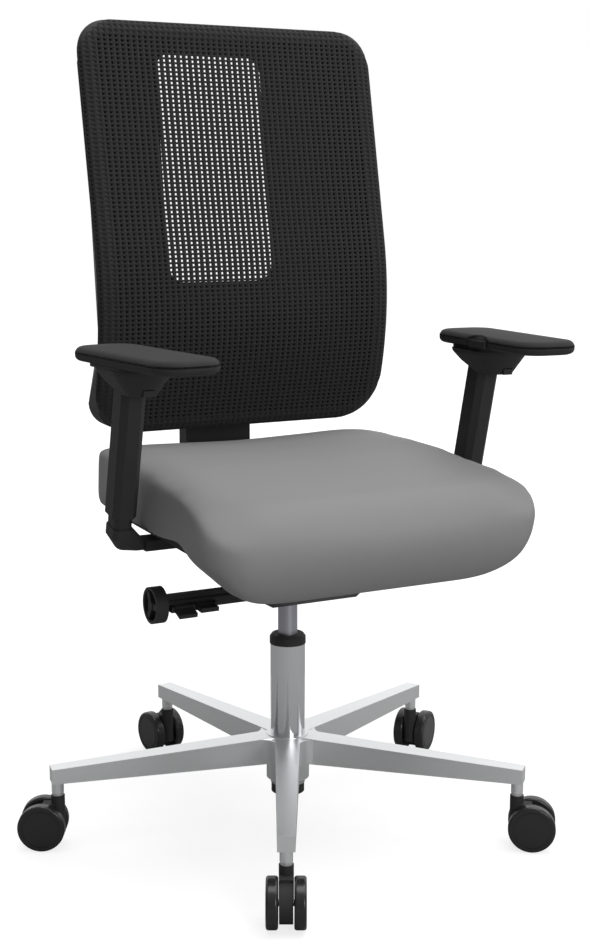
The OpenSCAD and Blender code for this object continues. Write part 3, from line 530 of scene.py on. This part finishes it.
def finish_set():
    """Every finish of the chair by the name of its slot in the record, made once."""
    if "seat_fabric" in bpy.data.materials:
        return {m.name: m for m in bpy.data.materials}
    tint = bpy.context.scene.chair_finishes
    made = [
        fabric_finish("seat_fabric", tint.fabric),
        net_finish("back_net", tint.net),
        pad_finish("arm_pad", tint.pad),
        moulded_finish("black_plastic", tint.plastic, rough=0.40, grain=1100.0, depth=0.00035,
                       specular_ior_level=0.11),
        coated_finish("coated_metal", tint.coat),
        polished_finish("polished_aluminium", tint.aluminium, low=0.06, high=0.13, wave=0.0006, edge=0.0012),
        polished_finish("satin_chrome", tint.chrome, low=0.05, high=0.09, wave=0.00015, edge=0.0006),
        turned_finish("ground_steel", tint.steel, low=0.18, high=0.30, pitch=0.0004),
        turned_finish("plated_steel", tint.plated, low=0.22, high=0.34, pitch=0.0005),
        wheel_finish("castor_wheel", tint.nylon),
    ]
    return {m.name: m for m in made}


def dress(piece, slot):
    """Gives the piece the finish of a slot and nothing else."""
    piece.data.materials.clear()
    piece.data.materials.append(finish_set()[slot])


# ---------------------------------------------------------------- the back's surface
BACK = {"half": 0.233, "low": 0.560, "high": 1.143, "bend_y": 0.112, "bend_z": 0.745, "bend_r": 0.450,
        "lean_up": math.radians(11.5), "lean_low": math.radians(16.5), "upper_r": 0.046, "lower_r": 0.062}


def back_point(run):
    """(y, z, lean) of the back's front at a run along it from the lumbar bend; lean is positive above it."""
    r, up, low = BACK["bend_r"], BACK["lean_up"], BACK["lean_low"]
    angle = np.clip(run / r, -low, up)
    past = run - angle * r
    centre = BACK["bend_y"] + r
    y = centre - r * np.cos(angle) + past * np.sin(angle)
    z = BACK["bend_z"] + r * np.sin(angle) + past * np.cos(angle)
    return y, z, angle


def back_run(z):
    """The distance along the back from the lumbar bend to the height z."""
    r, up, low = BACK["bend_r"], BACK["lean_up"], BACK["lean_low"]
    dz = z - BACK["bend_z"]
    if dz > r * math.sin(up):
        return r * up + (dz - r * math.sin(up)) / math.cos(up)
    if dz < -r * math.sin(low):
        return -r * low + (dz + r * math.sin(low)) / math.cos(low)
    return r * math.asin(dz / r)


def outline_distance(x, t, low, high, half, upper, lower):
    """Signed distance to a rectangle with rounded corners, and the outward direction."""
    middle, tall = (low + high) / 2, (high - low) / 2
    radius = np.where(t > middle, upper, lower)
    qx, qt = np.abs(x) - half + radius, np.abs(t - middle) - tall + radius
    ox, ot = np.maximum(qx, 0), np.maximum(qt, 0)
    length = np.hypot(ox, ot)
    distance = np.minimum(np.maximum(qx, qt), 0) + length - radius
    nx = np.where(length > 1e-9, ox / np.maximum(length, 1e-9), np.where(qx > qt, 1.0, 0.0)) * np.sign(x)
    nt = np.where(length > 1e-9, ot / np.maximum(length, 1e-9), np.where(qx > qt, 0.0, 1.0))
    nt = nt * np.sign(t - middle)
    return distance, nx, nt


def on_back(x, t, depth):
    """Points at a depth behind the front of the back."""
    y, z, lean = back_point(t)
    return np.stack([x, y + depth * np.cos(lean), z - depth * np.sin(lean)], axis=-1)


def belly(x, t):
    """How far the net stands back from the line between its edges, less the push of the lumbar pad."""
    across = np.clip(1 - (x / BACK["half"]) ** 2, 0, 1)
    slack = np.exp(-((t - SLACK["middle"]) / SLACK["tall"]) ** 2) * SLACK["deep"]
    push = np.exp(-((t - PUSH["middle"]) / PUSH["tall"]) ** 2 - (x / PUSH["half_wide"]) ** 4) * PUSH["deep"]
    return across * slack - push


def rolled(x, t, sizes, proud=0.0):
    """Maps a flat point of the net to the back, turning it over the frame near the outline."""
    low, high = back_run(BACK["low"]), back_run(BACK["high"])
    a, b = sizes.roll_across, sizes.roll_deep
    distance, nx, nt = outline_distance(x, t, low + a, high - a, BACK["half"] - a,
                                        BACK["upper_r"] - a * 0.5, BACK["lower_r"] - a * 0.5)
    mean = (a + b) / 2
    angle = np.clip(distance / mean, 0, NET_TURN_MOST)
    flat = np.maximum(distance, 0)
    px = x - nx * flat + nx * (a + proud) * np.sin(angle)
    pt = t - nt * flat + nt * (a + proud) * np.sin(angle)
    depth = b - (b + proud) * np.cos(angle)
    return on_back(px, pt, depth + belly(px, pt) * (distance < 0)), distance


# ---------------------------------------------------------------- operators
class CHAIR_OT_seat(bpy.types.Operator):
    """Build the upholstered seat cushion"""

    bl_idname = "chair.seat"
    bl_label = "Seat Cushion"

    def execute(self, context):
        sizes = context.scene.chair_seat
        source = NODES["seat_cushion"]
        piece = bpy.data.objects.new("seat_upholstery", source.data.copy())
        context.scene.collection.objects.link(piece)
        even = piece.modifiers.new("Even", "REMESH")
        even.mode, even.voxel_size, even.use_smooth_shade = "VOXEL", sizes.voxel, True
        mesh = settled_mesh(piece, "seat_upholstery")
        piece.modifiers.clear()
        piece.data = mesh
        points = points_of(mesh)
        under = SEAT_HIGH.z - SEAT_THICK
        pan = (points[:, 2] < under + FLAT_UNDER) & (points[:, 1] > FLAT_FRONT)
        points = relaxed(mesh, points, FORM_ROUNDS)
        throat = step(-points[:, 1], *THROAT_FORWARD) * (1 - step(points[:, 2], *THROAT_HEIGHT))
        points = relaxed(mesh, points, THROAT_ROUNDS, hold=1 - throat)
        points = self.shaped(points, sizes)
        set_points(mesh, points)
        points = points - normals_of(mesh) * sizes.start_inset
        set_points(mesh, points)
        points = self.inflated(context, piece, points, pan, sizes)
        points = relaxed(mesh, points, 3)
        points = points + normals_of(mesh) * sizes.start_inset * REGAIN
        height = points[:, 2]
        pressed = (points[:, 1] > PRESSED_FRONT) & pan
        points[:, 2] = np.where(pressed, np.maximum(height, under + PAN_GAP), height)
        set_points(mesh, points)
        finer = piece.modifiers.new("Finer", "SUBSURF")
        finer.levels = finer.render_levels = 1
        fine = settled_mesh(piece, "seat_upholstery")
        piece.modifiers.clear()
        piece.data = fine
        set_points(fine, self.detailed(points_of(fine), normals_of(fine), sizes))
        fine.polygons.foreach_set("use_smooth", [True] * len(fine.polygons))
        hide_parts("seat_cushion")
        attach(piece, "seat")
        dress(piece, "seat_fabric")
        return {"FINISHED"}

    @staticmethod
    def shaped(points, sizes):
        """The sitter's hollow in the top, and front corners that rise a little before they fall away."""
        x, y, z = points.T.copy()
        top = step(z, *TOP_HEIGHT)
        wide, long = x / DISH["half_wide"], (y - DISH["back"]) / DISH["half_long"]
        hollow = np.exp(-wide ** 2 - long ** 2) * sizes.dish
        corner = step(np.abs(x), *CORNER_OUT)
        drop = step(-y, *DROP_FORWARD) * step(z, *DROP_HEIGHT) * sizes.corner_drop
        lift = np.exp(-((y + LIFT_FORWARD) / LIFT_LONG) ** 2) * top * sizes.corner_lift
        return np.stack([x, y, z - hollow * top + corner * (lift - drop)], axis=1)

    @staticmethod
    def inflated(context, piece, points, pan, sizes):
        """The cover after the foam has pushed it out, with every point held within the cap."""
        held = piece.vertex_groups.new(name="held")
        held.add([int(i) for i in np.flatnonzero(pan)], 1.0, "REPLACE")
        cloth = piece.modifiers.new("Cover", "CLOTH")
        cloth.settings.vertex_group_mass = "held"
        cloth.settings.quality = 5
        cloth.settings.mass = 0.3
        cloth.settings.tension_stiffness = cloth.settings.compression_stiffness = 18
        cloth.settings.shear_stiffness = 8
        cloth.settings.bending_stiffness = 1.5
        cloth.settings.use_pressure = True
        cloth.settings.uniform_pressure_force = sizes.pressure
        cloth.settings.effector_weights.gravity = 0
        cloth.point_cache.frame_start, cloth.point_cache.frame_end = 1, COVER_FRAMES
        for number in range(1, COVER_FRAMES + 1):
            context.scene.frame_set(number)
        moved = points_of(settled_mesh(piece, "seat_swollen"))
        context.scene.frame_set(1)
        piece.modifiers.clear()
        piece.vertex_groups.clear()
        if len(moved) != len(points):
            raise RuntimeError("the simulated cover lost points")
        shift = relaxed(piece.data, moved - points, SWELL_ROUNDS)
        length = np.linalg.norm(shift, axis=1)
        shift *= (np.minimum(length, sizes.swell_cap) / np.maximum(length, 1e-9))[:, None]
        normals = normals_of(piece.data)
        upper = step(points[:, 2], *SWELL_HEIGHT) * sizes.swell_share
        return points + normals * (np.sum(shift * normals, axis=1) * upper)[:, None]

    @staticmethod
    def detailed(points, normals, sizes):
        """Gathers along the lower side edges."""
        x, y, z = points.T
        side = step(np.abs(normals[:, 0]), 0.25, 0.75)
        edge = np.interp(-y, LOWER_EDGE_FORWARD, LOWER_EDGE_HEIGHT)
        near = np.exp(-(np.maximum(z - edge, 0) / GATHER_REACH) ** 2)
        along = step(-y, *GATHER_START) * (1 - step(-y, *GATHER_END))
        run = y + GATHER_SLANT * z
        # slow waves shift and swell the gathers, so that no two are alike
        wave = np.sin(run * 2 * math.pi / GATHER_PITCH + 1.7 * np.sin(run * 61.0) + np.sign(x) * 0.8)
        wave = wave * (0.65 + 0.35 * np.sin(run * 97.0 + 1.3))
        return points + normals * (wave * near * along * side * sizes.pucker)[:, None]


class CHAIR_OT_net(bpy.types.Operator):
    """Build the stretched net and the rim it wraps"""

    bl_idname = "chair.net"
    bl_label = "Back Net"

    def execute(self, context):
        sizes = context.scene.chair_net
        low, high = back_run(BACK["low"]), back_run(BACK["high"])
        reach = (sizes.roll_across + sizes.roll_deep) / 2 * NET_TURN
        flat_half = BACK["half"] - sizes.roll_across + reach
        columns = int(round(2 * flat_half / sizes.pitch_x))
        rows = int(round((high - low - 2 * sizes.roll_across + 2 * reach) / sizes.pitch_z))
        s = np.linspace(-flat_half, flat_half, columns + 1)
        t = np.linspace(low + sizes.roll_across - reach, high - sizes.roll_across + reach, rows + 1)
        grid_s, grid_t = np.meshgrid(s, t, indexing="ij")
        crest, distance = rolled(grid_s.ravel(), grid_t.ravel(), sizes, sizes.rib)
        inside = (distance < reach).reshape(grid_s.shape)
        hx, hz = sizes.hole_x / 2, sizes.hole_z / 2
        mid_s, mid_t = (s[:-1] + s[1:]) / 2, (t[:-1] + t[1:]) / 2
        corners = [(-hx, -hz), (hx, -hz), (hx, hz), (-hx, hz)]
        holes = []
        for dx, dz in corners:
            cs, ct = np.meshgrid(mid_s + dx, mid_t + dz, indexing="ij")
            holes.append(rolled(cs.ravel(), ct.ravel(), sizes, 0.0)[0].reshape(columns, rows, 3))
        net = self.knitted(crest, holes, inside)
        body = net.modifiers.new("Yarn", "SOLIDIFY")
        body.thickness, body.offset = sizes.thickness, -1.0
        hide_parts("back_net")
        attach(net, "back")
        dress(net, "back_net")
        self.rim(sizes)
        return {"FINISHED"}

    @staticmethod
    def knitted(crest, holes, inside):
        """The net's piece: four faces round each hole whose four crests all lie inside the outline."""
        columns, rows = inside.shape[0] - 1, inside.shape[1] - 1
        points, faces = [tuple(p) for p in crest], []
        for i in range(columns):
            for j in range(rows):
                if not inside[i:i + 2, j:j + 2].all():
                    continue
                here, beyond = i * (rows + 1) + j, (i + 1) * (rows + 1) + j
                outer = [here, beyond, beyond + 1, here + 1]
                first = len(points)
                points.extend(tuple(holes[k][i, j]) for k in range(4))
                for k in range(4):
                    faces.append((outer[k], outer[(k + 1) % 4], first + (k + 1) % 4, first + k))
        used = sorted({i for f in faces for i in f})
        index = {old: new for new, old in enumerate(used)}
        kept = [tuple(index[i] for i in f) for f in faces]
        return new_piece("stretched_net", [points[i] for i in used], kept)

    @staticmethod
    def rim(sizes):
        """The rounded frame under the net's edge, swept round the back's outline."""
        low, high = back_run(BACK["low"]), back_run(BACK["high"])
        half, up, down = BACK["half"] - RIM_INSET, BACK["upper_r"], BACK["lower_r"]
        path = []
        for cx, ct, r, a0 in ((half - up, high - up, up, 0), (up - half, high - up, up, 90),
                              (down - half, low + down, down, 180), (half - down, low + down, down, 270)):
            for k in range(RIM_STEPS + 1):
                a = math.radians(a0 + 90 * k / RIM_STEPS)
                path.append((cx + r * math.cos(a), ct + r * math.sin(a), math.cos(a), math.sin(a)))
        dense = filled(path, RIM_SPACING)
        across, deep = sizes.roll_across, sizes.roll_deep
        section = []
        for q in range(0, 91, 10):
            a = math.radians(q)
            section.append((-across + across * math.sin(a), deep - deep * math.cos(a) + RIM_UNDER_NET))
        section += [(RIM_SHOULDER, deep + 2 * RIM_UNDER_NET), *RIM_INNER_SIDE]
        points = []
        for x, t, nx, nt in dense:
            for inward, depth in section:
                points.append(on_back(np.array(x + nx * inward), np.array(t + nt * inward), depth))
        faces = banded(len(dense), len(section), closed=True)
        rim = new_piece("back_rim", points, faces)
        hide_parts("back_frame")
        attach(rim, "back")
        dress(rim, "black_plastic")


class CHAIR_OT_pads(bpy.types.Operator):
    """Build the soft arm pads"""

    bl_idname = "chair.pads"
    bl_label = "Arm Pads"

    def execute(self, context):
        for side in ("right", "left"):
            self.pad(side, context.scene.chair_pads)
        return {"FINISHED"}

    @staticmethod
    def pad(side, sizes):
        """One pad: rings up its side, with the hollow round its button, and a crowned top."""
        low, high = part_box("arm_pad_" + side)
        centre, half_w, half_l = (low + high) / 2, sizes.width / 2, sizes.length / 2
        tall, edge, corner = high.z - low.z, sizes.edge, sizes.corner
        outward = 1.0 if side == "left" else -1.0
        turn = -outward * sizes.turn_in
        ring = []
        for k in range(sizes.around):
            a = 2 * math.pi * k / sizes.around
            cx, cy = math.copysign(half_w - corner, math.cos(a)), math.copysign(half_l - corner, math.sin(a))
            ring.append((cx + corner * math.cos(a), cy + corner * math.sin(a), math.cos(a), math.sin(a)))
        dense = filled(ring, PAD_SPACING)
        levels = []
        for q in range(0, 91, 15):
            a = math.radians(q)
            levels.append((edge - edge * math.sin(a), edge * 0.8 - edge * 0.8 * math.cos(a)))
        levels += [(0.0, tall * share) for share in PAD_WAIST]
        top = tall - sizes.crown
        for q in range(0, 91, 15):
            a = math.radians(q)
            levels.append((edge - edge * math.cos(a), top - edge + edge * math.sin(a)))
        points = []
        for inset, height in levels:
            for x, y, nx, ny in dense:
                reach = math.hypot((y - KEY_Y) / KEY_HALF_LONG, max(0.0, height - KEY_HEIGHT) / KEY_HALF_TALL)
                arch = float(step(np.float64(KEY_ARCH - reach), 0.0, KEY_SOFT))
                hollow = sizes.recess * arch * (nx * outward < INNER_SIDE)
                points.append((x - nx * (inset + hollow), y - ny * inset, height))
        for f in PAD_RINGS:
            lift = sizes.crown * (1 - f ** PAD_CROWN_FALL)
            along = 1 - (1 - f) * PAD_POINT
            points += [((x - nx * edge) * f, (y - ny * edge) * along, top + lift) for x, y, nx, ny in dense]
        n, count = len(dense), len(levels) + len(PAD_RINGS)
        faces = banded(count, n)
        faces.append(tuple(range(n - 1, -1, -1)))
        faces.append(tuple((count - 1) * n + j for j in range(n)))
        cos, sin = math.cos(turn), math.sin(turn)
        placed = []
        for x, y, z in points:
            placed.append((centre.x + x * cos - y * sin, centre.y + x * sin + y * cos, low.z + z))
        pad = new_piece("soft_pad_" + side, placed, faces)
        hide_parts("arm_pad_" + side)
        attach(pad, "armrest_" + side)
        dress(pad, "arm_pad")


class CHAIR_OT_finishes(bpy.types.Operator):
    """Put the finishes on every part of the frame"""

    bl_idname = "chair.finishes"
    bl_label = "Finishes"

    def execute(self, context):
        slots = {part["node"]: part["material_slot"] for part in frame["record"]["subparts"]}
        for name, part in NODES.items():
            dress(part, slots[name])
            part.data.polygons.foreach_set("use_smooth", [True] * len(part.data.polygons))
            keep = part.modifiers.new("Crisp", "EDGE_SPLIT")
            keep.split_angle = CREASE
        return {"FINISHED"}


class CHAIR_OT_stage(bpy.types.Operator):
    """Build the floor, the lights and the camera"""

    bl_idname = "chair.stage"
    bl_label = "Stage"

    def execute(self, context):
        sizes, scene = context.scene.chair_stage, context.scene
        scene.view_settings.view_transform = "Standard"
        self.floor(sizes)
        self.surroundings(scene)
        self.lamp("top_light", (0.35, -0.5, 3.3), (0, 0, 0), 2.6, 2.6, sizes.top)
        self.lamp("key_light", (-0.1, -3.5, 1.25), (0, -0.1, 0.6), 1.0, 1.3, sizes.key)
        self.lamp("fill_light", (2.7, -1.3, 1.7), (0, 0, 0.5), 1.2, 1.6, sizes.fill)
        camera = bpy.data.objects.new("camera", bpy.data.cameras.new("camera"))
        scene.collection.objects.link(camera)
        camera.data.lens, camera.data.sensor_width, camera.data.sensor_fit = sizes.lens, 36.0, "AUTO"
        camera.data.clip_start, camera.data.clip_end = 0.05, 60.0
        camera.location = sizes.camera_place
        camera.rotation_euler = (math.pi / 2 - sizes.camera_pitch, 0.0, sizes.camera_turn)
        scene.camera = camera
        return {"FINISHED"}

    @staticmethod
    def floor(sizes):
        """A round floor just under the castors, in rings that widen; it glows white to the camera."""
        rings, around, level = 6, 96, -0.0003
        points = [(0.0, 0.0, level)]
        faces = []
        for ring in range(1, rings + 1):
            r = sizes.floor_radius * (ring / rings) ** 2
            for k in range(around):
                a = 2 * math.pi * k / around
                points.append((r * math.cos(a), r * math.sin(a), level))
        for k in range(around):
            after = (k + 1) % around
            faces.append((0, 1 + k, 1 + after))
            for ring in range(rings - 1):
                a, b = 1 + ring * around, 1 + (ring + 1) * around
                faces.append((a + k, b + k, b + after, a + after))
        floor = new_piece("floor", points, faces, smooth=False)
        finish, tree, shader = new_finish("pale_floor", sizes.floor_shade, roughness=0.55,
                                          specular_ior_level=0.0)
        place = put(tree, "ShaderNodeTexCoord").outputs["Object"]
        tree.links.new(mottle(tree, place, sizes.floor_shade, 0.01, 3.0), shader.inputs["Base Color"])
        seen = put(tree, "ShaderNodeLightPath").outputs["Is Camera Ray"]
        far = put(tree, "ShaderNodeVectorMath", {0: place}, operation="LENGTH").outputs["Value"]
        fade = put(tree, "ShaderNodeMapRange", {"Value": far}, interpolation_type="SMOOTHSTEP")
        fade.inputs["From Min"].default_value, fade.inputs["From Max"].default_value = 0.35, 2.6
        fade.inputs["To Min"].default_value, fade.inputs["To Max"].default_value = 0.78, 1.0
        glow = combined(tree, "MULTIPLY", seen, fade.outputs["Result"])
        tree.links.new(glow, shader.inputs["Emission Strength"])
        shader.inputs["Emission Color"].default_value = (1.0, 1.0, 1.0, 1.0)
        floor.data.materials.append(finish)

    @staticmethod
    def surroundings(scene):
        """A pale studio: light behind the chair and overhead, grey before it, dark flags for the metal."""
        world = bpy.data.worlds.new("studio")
        scene.world = world
        world.use_nodes = True
        tree = world.node_tree
        back = tree.nodes["Background"]
        way = put(tree, "ShaderNodeTexCoord").outputs["Generated"]

        def toward(direction, low, high, least, most):
            """Goes from least to most toward a direction, while the cosine goes from low to high."""
            near = put(tree, "ShaderNodeVectorMath", {0: way}, operation="DOT_PRODUCT")
            near.inputs[1].default_value = Vector(direction).normalized()
            flag = put(tree, "ShaderNodeMapRange", {"Value": near.outputs["Value"]},
                       interpolation_type="SMOOTHSTEP")
            flag.inputs["From Min"].default_value, flag.inputs["From Max"].default_value = low, high
            flag.inputs["To Min"].default_value, flag.inputs["To Max"].default_value = least, most
            return flag.outputs["Result"]

        behind = toward((0.468, 0.884, 0.0), 0.10, 0.60, 0.20, 0.95)
        overhead = toward((0.0, 0.0, 1.0), 0.45, 0.85, 0.0, 0.25)
        shade = combined(tree, "ADD", behind, overhead)
        left_flag = ((-0.88, 0.30, 0.0), 0.88, 0.97, 0.10)
        right_flag = ((0.92, -0.38, 0.0), 0.88, 0.97, 0.14)
        below = ((0.0, -0.3, -0.95), 0.60, 0.95, 0.35)
        for direction, low, high, least in (left_flag, right_flag, below):
            shade = combined(tree, "MULTIPLY", shade, toward(direction, low, high, 1.0, least))
        seen = put(tree, "ShaderNodeLightPath").outputs["Is Camera Ray"]
        pick = put(tree, "ShaderNodeMix", {"Factor": seen}, data_type="FLOAT")
        tree.links.new(shade, pick.inputs[MIX_FIRST_VALUE])
        pick.inputs[MIX_SECOND_VALUE].default_value = 1.0
        tree.links.new(pick.outputs[0], back.inputs["Strength"])
        back.inputs["Color"].default_value = (1.0, 1.0, 1.0, 1.0)

    @staticmethod
    def lamp(name, place, aim, wide, tall, power):
        """A softbox at a place, turned to its aim."""
        light = bpy.data.lights.new(name, "AREA")
        light.shape, light.size, light.size_y, light.energy = "RECTANGLE", wide, tall, power
        lamp = bpy.data.objects.new(name, light)
        bpy.context.scene.collection.objects.link(lamp)
        lamp.location = place
        lamp.rotation_euler = (Vector(aim) - Vector(place)).to_track_quat("-Z", "Y").to_euler()


STEPS = (CHAIR_OT_finishes, CHAIR_OT_seat, CHAIR_OT_net, CHAIR_OT_pads, CHAIR_OT_stage)


class CHAIR_PT_panel(bpy.types.Panel):
    """The chair's building steps"""

    bl_idname = "CHAIR_PT_panel"
    bl_label = "Office Chair"
    bl_space_type = "VIEW_3D"
    bl_region_type = "UI"
    bl_category = "Chair"

    def draw(self, context):
        for stage in STEPS:
            self.layout.operator(stage.bl_idname)
        for name, group in GROUPS.items():
            box = self.layout.box()
            box.label(text=group.__name__)
            for key in group.__annotations__:
                box.prop(getattr(context.scene, name), key)


def register():
    for group in GROUPS.values():
        bpy.utils.register_class(group)
    for stage in (*STEPS, CHAIR_PT_panel):
        bpy.utils.register_class(stage)
    for name, group in GROUPS.items():
        setattr(bpy.types.Scene, name, PointerProperty(type=group))


def unregister():
    for name in GROUPS:
        delattr(bpy.types.Scene, name)
    for stage in (CHAIR_PT_panel, *reversed(STEPS)):
        bpy.utils.unregister_class(stage)
    for group in reversed(GROUPS.values()):
        bpy.utils.unregister_class(group)


def main():
    """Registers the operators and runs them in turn."""
    register()
    bpy.ops.chair.finishes()
    bpy.ops.chair.seat()
    bpy.ops.chair.net()
    bpy.ops.chair.pads()
    bpy.ops.chair.stage()
    bpy.context.view_layer.update()


if __name__ == "__main__":
    main()
